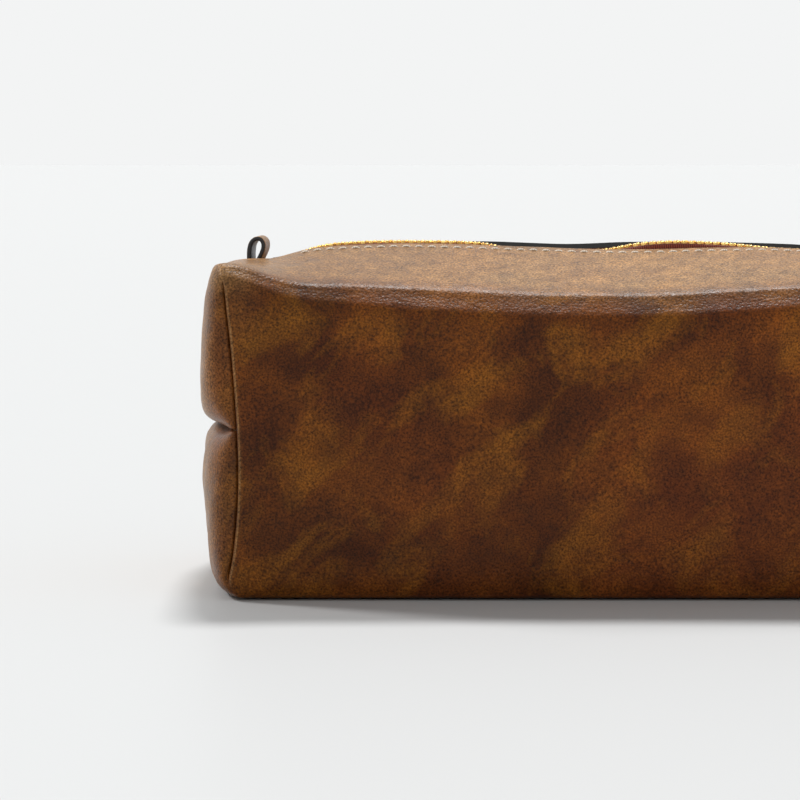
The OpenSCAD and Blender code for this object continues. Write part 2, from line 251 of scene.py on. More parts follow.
def leatherMaterial(name, look):
    material = newMaterial(name)
    rest = addNode(material, "ShaderNodeAttribute", {"attribute_name": "rest"}).outputs["Vector"]
    patch = addNode(material, "ShaderNodeTexNoise", {
        "Scale": 1000 / look["patchMm"], "Detail": 4.0, "Roughness": 0.5, "Distortion": 0.4}, {"Vector": rest})
    ground = toneRamp(material, patch.outputs["Fac"], [
        (0.36, look["dark"]), (0.52, look["mid"]), (0.66, look["warm"])])
    # pull-up streaks run on the slant
    slant = addNode(material, "ShaderNodeMapping", {
        "vector_type": "TEXTURE", "Rotation": (0, math.radians(look["slant"]), 0),
        "Scale": (look["stretch"], 1.0, 1.0)}, {"Vector": rest})
    streak = addNode(material, "ShaderNodeTexNoise", {
        "Scale": 1000 / look["streakMm"], "Detail": 5.0, "Roughness": 0.55, "Distortion": 0.5},
        {"Vector": slant.outputs["Vector"]})
    streakMask = addNode(material, "ShaderNodeMapRange", {
        "From Min": 0.5, "From Max": 0.78, "To Max": 0.72}, {"Value": streak.outputs["Fac"]})
    pulled = stain(material, ground, look["amber"], streakMask.outputs["Result"])
    redPatch = addNode(material, "ShaderNodeTexNoise", {"Scale": 13.0, "Detail": 2.0}, {"Vector": rest})
    redMask = addNode(material, "ShaderNodeMapRange", {
        "From Min": 0.42, "From Max": 0.72, "To Max": 0.5}, {"Value": redPatch.outputs["Fac"]})
    reddened = stain(material, pulled, look["red"], redMask.outputs["Result"])
    # paler where it is stretched, and painted paler where light and sheen fall: on the top, the fold edges, the ends'
    # lit outer faces and the loops
    wearAndLight = addNode(material, "ShaderNodeAttribute", {"attribute_name": "wearAndLight"})
    cloud = addNode(material, "ShaderNodeTexNoise", {
        "Scale": 1000 / look["cloudMm"], "Detail": 6.0, "Roughness": 0.6}, {"Vector": rest})
    cloudMask = addNode(material, "ShaderNodeMapRange", {
        "From Min": 0.3, "From Max": 0.7, "To Min": 0.8, "To Max": 1.2}, {"Value": cloud.outputs["Fac"]})
    wearAndLightMask = multiply(material, wearAndLight.outputs["Fac"], cloudMask.outputs["Result"])
    paledAndLit = stain(material, reddened, look["wornAndLit"], wearAndLightMask)
    # wax lies darker in the pores; the speckle is drawn a little coarse so that it shows
    speck = addNode(material, "ShaderNodeTexNoise", {
        "Scale": 1000 / look["speckMm"], "Detail": 2.0, "Roughness": 0.6}, {"Vector": rest})
    speckMask = addNode(material, "ShaderNodeMapRange", {
        "From Min": 0.3, "From Max": 0.7, "To Min": 0.3, "To Max": 1.7}, {"Value": speck.outputs["Fac"]})
    tone = multiply(material, speckMask.outputs["Result"], cloudMask.outputs["Result"])
    # darker towards the left end
    place = addNode(material, "ShaderNodeSeparateXYZ", None, {"Vector": rest})
    deeper = addNode(material, "ShaderNodeMapRange", {
        "From Min": -0.105, "From Max": 0.01, "To Min": 0.84, "To Max": 1.12}, {"Value": place.outputs["X"]})
    shade = multiply(material, tone, deeper.outputs["Result"])
    colour = addNode(material, "ShaderNodeVectorMath", {"operation": "SCALE"}, {0: paledAndLit, "Scale": shade})
    # pebble grain, and a shine that varies with the clouds
    grain = addNode(material, "ShaderNodeTexVoronoi", {
        "feature": "SMOOTH_F1", "Scale": 1000 / look["grainMm"], "Smoothness": 0.6}, {"Vector": rest})
    height = addNode(material, "ShaderNodeMath", {"operation": "ADD"}, {
        0: speck.outputs["Fac"], 1: grain.outputs["Distance"]})
    bump = addNode(material, "ShaderNodeBump", {"Strength": look["grain"], "Distance": 0.0003}, {
        "Height": height.outputs["Value"]})
    fold = addNode(material, "ShaderNodeBump", {"Strength": 0.2, "Distance": 0.0014}, {
        "Height": cloud.outputs["Fac"], "Normal": bump.outputs["Normal"]})
    sheen = addNode(material, "ShaderNodeMapRange", {
        "From Min": 0.3, "From Max": 0.7, "To Min": look["roughness"] - 0.06, "To Max": look["roughness"] + 0.08},
        {"Value": cloud.outputs["Fac"]})
    return surface(material, {"Specular IOR Level": look["specular"]}, {
        "Base Color": colour.outputs["Vector"], "Roughness": sheen.outputs["Result"],
        "Normal": fold.outputs["Normal"]})


leather = leatherMaterial("pullUpLeather", pullUp)


# Flesh side of the hide: short brushed nap, no shine
def suedeMaterial():
    material = newMaterial("suedeFlesh")
    rest = addNode(material, "ShaderNodeAttribute", {"attribute_name": "rest"}).outputs["Vector"]
    patch = addNode(material, "ShaderNodeTexNoise", {
        "Scale": 60.0, "Detail": 6.0, "Roughness": 0.7}, {"Vector": rest})
    tone = toneRamp(material, patch.outputs["Fac"], [(0.3, "#6B4A2C"), (0.7, "#94714A")])
    nap = addNode(material, "ShaderNodeTexNoise", {"Scale": 2200.0, "Detail": 2.0}, {"Vector": rest})
    bump = addNode(material, "ShaderNodeBump", {"Strength": 0.4, "Distance": 0.0003}, {"Height": nap.outputs["Fac"]})
    return surface(material, {
        "Roughness": 0.95, "Specular IOR Level": 0.2, "Sheen Weight": 0.3, "Sheen Roughness": 0.5}, {
        "Base Color": tone, "Normal": bump.outputs["Normal"]})


suede = suedeMaterial()


# Cut edge dyed black and burnished with wax
def inkedEdgeMaterial():
    material = newMaterial("blackInkedEdge")
    place = addNode(material, "ShaderNodeTexCoord").outputs["Object"]
    fibre = addNode(material, "ShaderNodeTexNoise", {"Scale": 900.0, "Detail": 4.0}, {"Vector": place})
    tone = toneRamp(material, fibre.outputs["Fac"], [(0.3, "#0B0C0D"), (0.75, "#1E2021")])
    bump = addNode(material, "ShaderNodeBump", {"Strength": 0.3, "Distance": 0.0002}, {
        "Height": fibre.outputs["Fac"]})
    return surface(material, {"Roughness": 0.38}, {"Base Color": tone, "Normal": bump.outputs["Normal"]})


inkedEdge = inkedEdgeMaterial()


# Zipper brass: stamped and tumbled, bright on the high spots and brown in the hollows
def brassMaterial(name, bright, dull, roughness):
    material = newMaterial(name)
    place = addNode(material, "ShaderNodeTexCoord").outputs["Object"]
    tarnish = addNode(material, "ShaderNodeTexNoise", {"Scale": 420.0, "Detail": 5.0}, {"Vector": place})
    tone = toneRamp(material, tarnish.outputs["Fac"], [(0.32, dull), (0.6, bright)])
    scratch = addNode(material, "ShaderNodeTexNoise", {"Scale": 3000.0, "Detail": 2.0}, {"Vector": place})
    rough = addNode(material, "ShaderNodeMapRange", {
        "To Min": roughness - 0.08, "To Max": roughness + 0.12}, {"Value": scratch.outputs["Fac"]})
    bump = addNode(material, "ShaderNodeBump", {"Strength": 0.08, "Distance": 0.0002}, {
        "Height": scratch.outputs["Fac"]})
    return surface(material, {"Metallic": 1.0}, {
        "Base Color": tone, "Roughness": rough.outputs["Result"], "Normal": bump.outputs["Normal"]})


brass = brassMaterial("polishedBrass", "#EBC476", "#B98A3E", 0.27)


# Woven zipper tape: cotton twill dyed rust brown, ribs across the tape
def tapeMaterial():
    material = newMaterial("rustTwillTape")
    rest = addNode(material, "ShaderNodeAttribute", {"attribute_name": "rest"}).outputs["Vector"]
    # the weave's real 0.35 mm thread spacing is drawn about twice as wide so that it shows
    warp, weft = [addNode(material, "ShaderNodeTexWave", {
        "wave_type": "BANDS", "bands_direction": direction, "Scale": waveScale(spacing), "Distortion": 0.6,
        "Detail": 1.0}, {"Vector": rest}) for direction, spacing in (("X", 0.7), ("Y", 0.9))]
    weave = multiply(material, warp.outputs["Fac"], weft.outputs["Fac"])
    tone = toneRamp(material, weave, [(0.05, "#6A2E20"), (0.6, "#A9543E")])
    bump = addNode(material, "ShaderNodeBump", {"Strength": 0.5, "Distance": 0.0002}, {"Height": weave})
    return surface(material, {"Roughness": 0.9, "Specular IOR Level": 0.2, "Sheen Weight": 0.25}, {
        "Base Color": tone, "Normal": bump.outputs["Normal"]})


tapeCloth = tapeMaterial()


# Waxed cream thread: three plies twisted, a soft shine from the wax
def threadMaterial():
    material = newMaterial("waxedCreamThread")
    place = addNode(material, "ShaderNodeTexCoord").outputs["Object"]
    turned = addNode(material, "ShaderNodeMapping", {"Rotation": (0, 0, math.radians(35))}, {"Vector": place})
    ply = addNode(material, "ShaderNodeTexWave", {
        "wave_type": "BANDS", "bands_direction": "X", "Scale": waveScale(0.6)}, {
        "Vector": turned.outputs["Vector"]})
    tone = toneRamp(material, ply.outputs["Fac"], [(0.0, "#DCC6AC"), (0.6, "#F8EAD8")])
    bump = addNode(material, "ShaderNodeBump", {"Strength": 0.5, "Distance": 0.0002}, {
        "Height": ply.outputs["Fac"]})
    return surface(material, {"Roughness": 0.55}, {"Base Color": tone, "Normal": bump.outputs["Normal"]})


thread = threadMaterial()
print("materials made")


# Side -1 is the front and 1 the back, hand -1 is the left and 1 the right
frontBack = {-1: "front", 1: "back"}
leftRight = {-1: "left", 1: "right"}
quarters = [(side, hand) for side in (-1, 1) for hand in (-1, 1)]


# bakes the piece's place into its points
def openWith(piece):
    # the end stays with the body, and from there on the middle goes more and more with the half that opens
    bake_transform(piece)


# Body leather: base fold, wall, rolled top edge and lip, all heights and widths in mm
bag = {
    "leatherT": 1.6, "rows": 132, "cols": 64, "crowd": 0.55, "foldW": 50.17, "topW": 56.5, "lipW": 6.0,
    "wallEnd": 111.8, "lipEnd": 98.0, "lipEndW": 24.0, "wallEndW": 55.5, "cornerX": 106.0, "seamZ": 51.6,
    "topZ": 90.0, "toeZ": 8.0, "toeIn": 6.0, "creaseLow": 1.5, "creaseTop": (7.5, 1.5), "creaseW": 50.0,
    "fold": {"radius": 0.9, "turn": 95, "bends": 7, "straights": 2, "run": 4.0}, "slip": 1.6, "edgeRound": 7.0,
    "dents": [(0.45, 62, 3), (0.16, 21, 5)], "calmEnd": 14.0,
    # painted sheen on the top and on the ends' tops, partly stretched paler hide
    "paleAndLit": 0.58, "paleAndLitW": (40, 56.5), "endPaleAndLit": 0.08, "endPaleAndLitZ": (90.0, 100.5), "endBlend": 16.0,
    # painted highlight along the folds, where their edges catch the light, partly edge rub
    "rubAndHighlight": 0.45, "rubAndHighlightReach": 0.7, "foldRubAndHighlight": [0.5, 0.5, 0.3, 0.1, 0, 0, 0, 0, 0],
    "inkW": 7.5, "inkEnd": 97.5,
    # the fold's distance from the bag's middle by height
    "foldLine": [(0, 111.2), (3.8, 110.8), (6.8, 109.75), (12.8, 108.55), (21.8, 107.5), (30.9, 106.9),
                 (39.9, 106.75), (52, 107.05), (67, 108.1), (79.1, 109.15), (88.1, 110.2), (97.1, 110.95),
                 (102, 111.4)],
    # widths and heights of the wall from the base up
    "wall": [(50.17, 0.15), (52.2, 0.15), (54.8, 0.5), (56.4, 3.2), (56.9, 9), (57.1, 24), (57.5, 42), (57.4, 60)],
    # the wall leans in over a soft shoulder, then turns sharply into the lip: width and drop below the lip's line
    "middleRoll": [(56.9, 22.0), (56.85, 15.0), (56.8, 11.5), (56.7, 8.6), (56.5, 6.7), (56.1, 5.4), (55.4, 4.55),
                   (54.4, 3.85), (53.4, 3.15), (52.4, 2.4), (51.5, 1.65), (50.7, 0.9), (49.6, 0.35)],
    "cornerRoll": [(56.9, 22.0), (56.8, 15.0), (56.7, 11.5), (56.6, 9.0), (56.3, 6.65), (55.9, 5.15), (55.3, 4.15),
                   (54.5, 3.35), (53.7, 2.65), (52.9, 1.95), (52.2, 1.15), (51.3, 0.55), (50.0, 0.2)],
    "rollFade": (52, 87), "lipWidths": (46.0, 36.0, 24.0, 13.0, 6.0),
    # heights along the bag
    "backTop": [(0, 92.9), (20, 93.1), (34, 93.9), (58, 95.4), (80, 96.5), (90, 96.9), (98, 96.9), (104, 97.2),
                (108, 97.7), (116, 97.8)],
    "frontTop": [(0, 91.0), (20, 91.2), (34, 92.0), (58, 93.5), (85, 95.1), (91, 96.0), (98, 98.4), (103, 100.6),
                 (106, 101.8), (108, 102.1), (116, 102.2)],
    "frontLip": [(-110, 101.0), (-103, 101.0), (-98, 101.5), (-96, 102.0), (-93, 102.8), (-89.6, 103.8),
                 (-86.4, 104.5), (-83, 105.0), (-77, 105.4), (-68, 105.85), (-57, 106.2), (-38, 105.85),
                 (-30, 105.55), (-22, 105.2), (-15, 105.05), (-7, 104.65), (1, 104.45), (8, 104.25), (20, 104.3),
                 (28, 104.5), (36, 104.75), (45, 104.8), (55, 104.95), (63, 104.75), (72, 104.2), (82, 103.4),
                 (110, 103.0)],
    "backLip": [(-110, 100.8), (-98, 101.1), (-93, 102.4), (-89.6, 103.4), (-86.4, 104.2), (-83, 104.8), (-77, 105.4),
                (-68, 106.1), (-57, 106.5), (-45, 106.55), (-28, 106.4), (-21, 106.1), (-13.5, 105.8), (-6, 105.55),
                (1, 105.7), (8.5, 106.1), (14, 106.3), (30, 106.4), (40, 106.3), (49, 106.1), (55, 105.95),
                (70, 105.4), (80, 104.2), (86, 103.6), (110, 103.2)],
    "chain": [(-110, 99.6), (-98, 100.0), (-95.5, 100.4), (-92.6, 101.2), (-88.6, 102.7), (-84, 104.2),
              (-78.7, 105.05), (-67.9, 105.75), (-57.4, 105.85), (-45, 105.75), (-37.7, 105.6), (-32, 105.2),
              (-28.5, 104.6), (-25, 103.7), (-20, 103.3), (-10, 103.0), (0, 102.8), (7, 103.0), (10, 103.5),
              (12.6, 104.1), (15.1, 104.6), (17.7, 105.0), (20.2, 105.3), (26, 105.7), (30.4, 105.8), (35.5, 105.6),
              (40.4, 105.4), (45.3, 105.1), (50.6, 104.55), (55.8, 104.0), (62, 103.4), (70, 103.05), (110, 103.0)],
}


def chainZ(x):
    return along(bag["chain"], x)


def topEdgeZ(x, side):
    return along(bag["frontTop"] if side < 0 else bag["backTop"], abs(x))


def lipEdgeZ(x, side):
    return along(bag["frontLip"] if side < 0 else bag["backLip"], x)


def lipZ(x, w, side):
    top = topEdgeZ(x, side)
    return top + (lipEdgeZ(x, side) - top) * (bag["topW"] - w) / (bag["topW"] - bag["lipW"])


def sectionPoints(x, side):
    # control points of the outer face from the base fold to the lip's cut edge
    one = np.ones_like(x)
    points = [(w * one, z * one) for w, z in bag["wall"]]
    corner = smoothStep(*bag["rollFade"], np.abs(x))
    for (middleW, middleDrop), (cornerW, cornerDrop) in zip(bag["middleRoll"], bag["cornerRoll"]):
        w = middleW + (cornerW - middleW) * corner
        points.append((w, lipZ(x, w, side) - middleDrop - (cornerDrop - middleDrop) * corner))
    points += [(w * one, lipZ(x, w, side)) for w in bag["lipWidths"]]
    return points


sectionCount = len(sectionPoints(np.zeros(1), -1))
rowT = np.linspace(0, 1, bag["rows"])
rowBasis = splineBasis(rowT, sectionCount)


def sectionAt(x, side):
    # width and height of every row at the places x, rows by columns
    points = sectionPoints(x, side)
    w = sum(rowBasis[:, k:k + 1] * points[k][0] for k in range(sectionCount))
    z = sum(rowBasis[:, k:k + 1] * points[k][1] for k in range(sectionCount))
    return w, z


def sectionNormal(w, z):
    dw = np.gradient(w, axis=0)
    dz = np.gradient(z, axis=0)
    size = np.sqrt(dw ** 2 + dz ** 2) + 1e-9
    return dz / size, -dw / size


def endLine(side, hand):
    # where a wall gives way to the end: place, outward direction and depth of the crease for every row
    w, z = sectionAt(np.full((bag["rows"], 1), hand * bag["cornerX"]), side)
    w, z = w[:, 0], z[:, 0]
    toe = np.clip(1 - z / bag["toeZ"], 0, 1)
    x = along(bag["foldLine"], z) - bag["toeIn"] * toe ** 2
    topX = bag["lipEnd"] + (bag["wallEnd"] - bag["lipEnd"]) * smoothStep(bag["lipEndW"], bag["wallEndW"], w)
    x = np.where(z > bag["topZ"], np.minimum(x, topX), x)
    w, z = sectionAt(hand * x[:, None], side)
    nw, nz = sectionNormal(w, z)
    w, z = w[:, 0], z[:, 0]
    starts, ends = z.max() - np.array(bag["creaseTop"])
    crease = smoothStep(bag["creaseLow"], bag["toeZ"], z) * (1 - smoothStep(starts, ends, z)) * (w > bag["creaseW"])
    return x, w, z, nw[:, 0], nz[:, 0], crease


def dents(p, waves):
    return sum(depth * ripple(p, size, seed) for depth, size, seed in waves)


def endPaleAndLit(z):
    # how far an end is painted pale at that height: painted sheen near the top, like the lip's, and some stretched
    # hide
    return bag["endPaleAndLit"] + (bag["paleAndLit"] - bag["endPaleAndLit"]) * smoothStep(*bag["endPaleAndLitZ"], z)


def turnIn(edge, ahead, inward, crease, fold):
    # points past an edge: they turn in round the crease and run on inside, or slip under the next piece without one
    radius = fold["radius"] * crease
    turn = math.radians(fold["turn"])
    angles = list(np.linspace(0, turn, fold["bends"] + 1)[1:]) + [turn] * fold["straights"]
    columns = []
    for i, a in enumerate(angles, 1):
        run = fold["run"] * max(0, i - fold["bends"]) / fold["straights"]
        folded = np.outer(radius * math.sin(a), ahead) + inward * (radius * (1 - math.cos(a)) + run)[:, None]
        share = i / len(angles)
        slipped = ahead * bag["slip"] * share + inward * bag["slip"] / 2 * share ** 2
        columns.append(edge + folded * crease[:, None] + slipped * (1 - crease)[:, None])
    return np.stack(columns, axis=1)


def setWearAndLight(piece, wearAndLight):
    # the share of painted pale: partly stretched hide, partly painted light and sheen
    piece.data.attributes.new("wearAndLight", "FLOAT", "POINT").data.foreach_set("value", wearAndLight.reshape(-1))


def wrapHalf(side, hand):
    xEnd, *_, crease = endLine(side, hand)
    # columns lie closer together towards the end
    u = np.sin(np.linspace(0, 0.5, bag["cols"]) * np.pi) ** 0.9
    u = bag["crowd"] * u + (1 - bag["crowd"]) * np.linspace(0, 1, bag["cols"])
    x = u[None, :] * (xEnd - bag["fold"]["radius"] * crease)[:, None]
    w, z = sectionAt(hand * x, side)
    nw, nz = sectionNormal(w, z)
    p = np.stack([hand * x, side * w, z], axis=-1)
    n = np.stack([0 * x, side * nw, nz], axis=-1)
    fromEnd = xEnd[:, None] - x
    # soft dents, fading out at the end, the base fold and the lip
    calm = smoothStep(0, bag["calmEnd"], fromEnd) * smoothStep(0.02, 0.16, rowT)[:, None]
    calm = calm * (1 - 0.8 * smoothStep(0.86, 1.0, rowT))[:, None]
    p = p + n * (dents(p, bag["dents"]) * calm)[..., None]
    # the wall rounds off towards its fold
    ease = np.clip(1 - fromEnd / bag["edgeRound"], 0, 1) ** 2 * crease[:, None]
    p = p - n * ease[..., None]
    tail = turnIn(p[:, -1], np.array([hand, 0, 0]), -n[:, -1], crease, bag["fold"])
    p = np.concatenate([p, tail], axis=1)
    # painted highlight along the fold, partly rubbed edge; paler hide over the roll and lip, partly stretched and
    # partly painted sheen from the light above
    paleAndLit = bag["paleAndLit"] * (1 - smoothStep(*bag["paleAndLitW"], w)) * (z > 60)
    nearEnd = (1 - smoothStep(0, bag["endBlend"], fromEnd)) * smoothStep(70, 92, z)
    paleAndLit = paleAndLit + (endPaleAndLit(z) - paleAndLit) * nearEnd
    rubAndHighlight = np.maximum(bag["rubAndHighlight"] * np.exp(-(fromEnd / bag["rubAndHighlightReach"]) ** 2) * crease[:, None], paleAndLit)
    tailRubAndHighlight = np.maximum(np.outer(crease, bag["foldRubAndHighlight"]), paleAndLit[:, -1:])
    wearAndLight = np.concatenate([rubAndHighlight, tailRubAndHighlight], axis=1)
    if side * hand > 0:
        p, wearAndLight = p[:, ::-1], wearAndLight[:, ::-1]
    piece = clothGrid(frontBack[side] + "Leather" + leftRight[hand].capitalize(), p, leather, suede, inkedEdge)
    setWearAndLight(piece, wearAndLight)
    thicken(piece, bag["leatherT"], 1, 2)
    # only the lip's cut edge is inked
    for face in piece.data.polygons:
        x, y = [abs(c) / mm for c in face.center[:2]]
        if face.material_index == 2 and (y > bag["inkW"] or x > bag["inkEnd"]):
            face.material_index = 1
    keepRest(piece)
    smooth(piece)
    openWith(piece)
    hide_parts(frontBack[side] + "_wall", frontBack[side] + "_lip")


for side, hand in quarters:
    wrapHalf(side, hand)
print("walls and lips made")


# End pillows: the middle path of each in mm, as distance from the bag's middle and height
pillow = {
    "upper": [(98.0, 99.8), (103.5, 100.1), (109.5, 100.4), (114.8, 99.4), (116.9, 95.2), (118.2, 88.5), (119.8, 79),
              (120.6, 69), (121.0, 60.5), (120.7, 54.0), (118.6, 50.7), (114.5, 50.3), (110.6, 50.2)],
    "lower": [(110.6, 49.8), (114.8, 49.6), (118.2, 48.6), (119.5, 45.0), (119.8, 40), (119.4, 32), (118.5, 21),
              (117.7, 10.5), (116.2, 4.2), (113.0, 0.7), (109.5, 0.12), (106.2, 0.12)],
    "rows": 72, "cols": 65, "crowd": 0.4, "recess": 2.2,
    "fold": {"radius": 1.2, "turn": 90, "bends": 6, "straights": 1, "run": 3.0},
    # shares of the rows: over the corner, down to the toe, and while the lips' line fades
    "cornerShare": 0.30, "toeShare": 0.74, "lipShare": 0.26, "wallRows": 60, "chainDip": 1.4, "chainW": (3.5, 8),
    # the ends' outer faces are painted paler for the window light that falls there, partly stretched hide
    "dents": [(0.7, 38, 11), (0.2, 13, 12)], "stretchedAndLit": 0.55, "stretchedAndLitX": (112.5, 120.5),
    "seamStep": 0.6, "flange": 5.0, "flangeRows": (0.08, 0.3, 0.65, 1.0), "flangeGap": 0.06, "flangeRise": 3.4,
}


def pillowRows(part, line):
    # the end line of one wall at every row of the pillow
    x, w, z = line[:3]
    r = np.linspace(0, 1, pillow["rows"])
    index = np.arange(bag["rows"])
    wall = slice(0, pillow["wallRows"])
    step = pillow["seamStep"] if part == "upper" else -pillow["seamStep"]
    seamRow = np.interp(bag["seamZ"] + step, z[wall], index[wall])
    if part == "upper":
        # rows evenly spaced along the lip and over the corner, then down to the seam
        crown = int(np.argmax(z))
        length = np.concatenate([[0], np.cumsum(np.sqrt(np.diff(x) ** 2 + np.diff(w) ** 2 + np.diff(z) ** 2))])
        lipRow = np.interp(-bag["lipEndW"], -w[crown:], index[crown:])
        cornerRow = np.interp(z[crown] - bag["creaseTop"][0], z[:crown], index[:crown])
        stops = [np.interp(row, index, length) for row in (lipRow, cornerRow, seamRow)]
        at = np.interp(np.interp(r, [0, pillow["cornerShare"], 1], stops), length, index)
    else:
        toeRow = np.interp(bag["toeZ"], z[wall], index[wall])
        at = np.interp(r, [0, pillow["toeShare"], 1], [seamRow, toeRow, 0])
    return [np.interp(at, index, v) for v in line]


def endPillow(part, hand):
    r = np.linspace(0, 1, pillow["rows"])
    path = np.array(pillow[part])
    centre = splineBasis(r, len(path)) @ path
    even = np.linspace(-1, 1, pillow["cols"])
    s = pillow["crowd"] * np.sin(even * np.pi / 2) + (1 - pillow["crowd"]) * even
    angle = s * np.pi / 2
    swell = np.cos(angle) * np.sqrt(1 + np.sin(angle) ** 2)
    halves = {side: pillowRows(part, endLine(side, hand)) for side in (-1, 1)}
    # each column swells from the wall's fold to the middle path
    columns = []
    for k, a in enumerate(s):
        side = -1 if a < 0 else 1
        x, w, z, nw, nz, crease = halves[side]
        deep = pillow["recess"] * crease
        startX = x + pillow["fold"]["radius"] * crease
        width = w - nw * deep
        height = z - nz * deep
        keep = np.sin(abs(angle[k]))
        px = startX + (centre[:, 0] - startX) * swell[k]
        pz = centre[:, 1] + (height - centre[:, 1]) * keep ** 2
        columns.append(np.stack([hand * px, side * width * keep, pz], axis=-1))
    p = np.stack(columns, axis=1)
    if part == "upper":
        # the first row meets the lips and dips under the chain between them
        y = p[0, :, 1]
        lipX = hand * bag["lipEnd"]
        lip = np.where(y < 0, lipZ(lipX, abs(y), -1), lipZ(lipX, abs(y), 1))
        lip = lip - pillow["chainDip"] * (1 - smoothStep(*pillow["chainW"], abs(y)))
        gap = lip - p[0, :, 2]
        gap = gap - np.where(s < 0, gap[0], gap[-1]) * np.sin(angle) ** 2
        p[:, :, 2] += gap[None, :] * (1 - smoothStep(0, pillow["lipShare"], r))[:, None]
    calm = smoothStep(0, 0.3, 1 - abs(s))[None, :] * smoothStep(0.0, 0.25, r)[:, None]
    calm = calm * (1 - smoothStep(0.85, 1.0, r))[:, None]
    p[:, :, 0] += hand * dents(p, pillow["dents"]) * calm
    # side folds turn in beside the wall's fold
    sides = {}
    for side, column in ((-1, 0), (1, -1)):
        x, w, z, nw, nz, crease = halves[side]
        inward = np.stack([0 * x, -side * nw, -nz], axis=-1)
        sides[side] = turnIn(p[:, column], np.array([-hand, 0, 0]), inward, crease, pillow["fold"])
    p = np.concatenate([sides[-1][:, ::-1], p, sides[1]], axis=1)
    # paler towards the outer faces: painted light where the window light falls, partly stretched hide; painted sheen
    # near the top
    wearAndLight = endPaleAndLit(p[:, :, 2]) + pillow["stretchedAndLit"] * smoothStep(*pillow["stretchedAndLitX"], abs(p[:, :, 0]))
    # the seam allowance runs inside from the mid seam
    edge = p[-1] if part == "upper" else p[0]
    level = bag["seamZ"] + (pillow["flangeGap"] if part == "upper" else -pillow["flangeGap"])
    flange = []
    for f in pillow["flangeRows"]:
        row = edge.copy()
        row[:, 0] -= hand * pillow["flange"] * f
        row[:, 2] += (level - row[:, 2]) * min(1, f * pillow["flangeRise"])
        flange.append(row)
    flange = np.stack(flange, axis=0)
    bare = np.zeros(flange.shape[:2])
    if part == "upper":
        p, wearAndLight = np.concatenate([p, flange], axis=0), np.concatenate([wearAndLight, bare], axis=0)
    else:
        p, wearAndLight = np.concatenate([flange[::-1], p], axis=0), np.concatenate([bare, wearAndLight], axis=0)
    if hand > 0:
        p, wearAndLight = p[:, ::-1], wearAndLight[:, ::-1]
    piece = clothGrid(leftRight[hand] + "End" + part.capitalize(), p, leather, suede)
    setWearAndLight(piece, wearAndLight)
    thicken(piece, bag["leatherT"], 1, 0)
    keepRest(piece)
    smooth(piece)
    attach(piece, "body")
    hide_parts(leftRight[hand] + "_end_" + part)


for hand in (-1, 1):
    for part in ("upper", "lower"):
        endPillow(part, hand)
print("end pillows made")


# Base: the same hide between the two folds, flat on the table with a faint wave
base = {"length": 106.6, "cols": 60, "rows": 40, "lift": 0.12, "wave": 0.12, "waveMm": 60, "seed": 21,
        "calmFold": 8.0}
baseX = np.linspace(-base["length"], base["length"], base["cols"])
baseY = np.linspace(bag["foldW"], -bag["foldW"], base["rows"])
gx, gy = np.meshgrid(baseX, baseY)
flat = np.stack([gx, gy, 0 * gx], axis=-1)
wave = base["wave"] * (1 + ripple(flat, base["waveMm"], base["seed"]))
flat[:, :, 2] = base["lift"] + wave * smoothStep(0, base["calmFold"], bag["foldW"] - abs(gy))
baseLeather = clothGrid("baseLeather", flat, leather, suede)
thicken(baseLeather, bag["leatherT"], 1, 0)
keepRest(baseLeather)
smooth(baseLeather)
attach(baseLeather, "body")
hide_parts("base_panel")
print("base made")


# Zipper tapes: flat by the chain, then down under the lip
tape = {
    "thick": 0.6, "flatTo": 4.4, "lowFrom": 5.8, "cols": 90, "pastLip": 1.5, "underLip": 0.12,
    "endDrop": 1.6, "dropFrom": 3.2, "dropTo": 1.0,
    "widths": [0.95, 1.6, 2.4, 3.2, 3.9, 4.4, 4.75, 5.1, 5.45, 5.8, 6.6, 8.5, 11, 13, 15],
}


def tapeHalf(side, hand):
    x = hand * np.linspace(0, bag["lipEnd"] + tape["pastLip"], tape["cols"])
    gx, gw = np.meshgrid(x, tape["widths"])
    under = lipZ(gx, np.maximum(gw, tape["lowFrom"]), side) - bag["leatherT"] - tape["underLip"]
    drop = smoothStep(bag["lipEnd"] - tape["dropFrom"], bag["lipEnd"] + tape["dropTo"], abs(gx))
    level = chainZ(gx) + tape["thick"] / 2 - tape["endDrop"] * drop
    z = level + (under - level) * smoothStep(tape["flatTo"], tape["lowFrom"], gw)
    p = np.stack([gx, side * gw, z], axis=-1)
    if side * hand < 0:
        p = p[:, ::-1]
    piece = clothGrid(frontBack[side] + "Tape" + leftRight[hand].capitalize(), p, tapeCloth)
    thicken(piece, tape["thick"])
    keepRest(piece)
    smooth(piece)
    openWith(piece)
    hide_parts("zipper_tape_" + frontBack[side])


for side, hand in quarters:
    tapeHalf(side, hand)


# Teeth: stamped brass, a domed head past the middle and a rounded back clamped on the tape
tooth = {
    "pitch": 2.54, "first": -92.6, "count": 73, "thick": 1.15, "height": 2.4, "back": 3.3, "head": 0.75,
    "topRound": 0.48, "headInset": 0.22, "headDome": 0.28, "backRound": 0.4, "bulb": 1.4, "bulbFrom": -1.6,
}


def editSelect(piece, kind, wanted):
    # in edit mode, selects only the edges or faces that are wanted
    bpy.ops.mesh.select_all(action="DESELECT")
    mesh = bmesh.from_edit_mesh(piece.data)
    for item in getattr(mesh, kind):
        item.select = wanted(item)
    bmesh.update_edit_mesh(piece.data)


def lengthInY(edge):
    return abs(edge.verts[0].co.y - edge.verts[1].co.y)


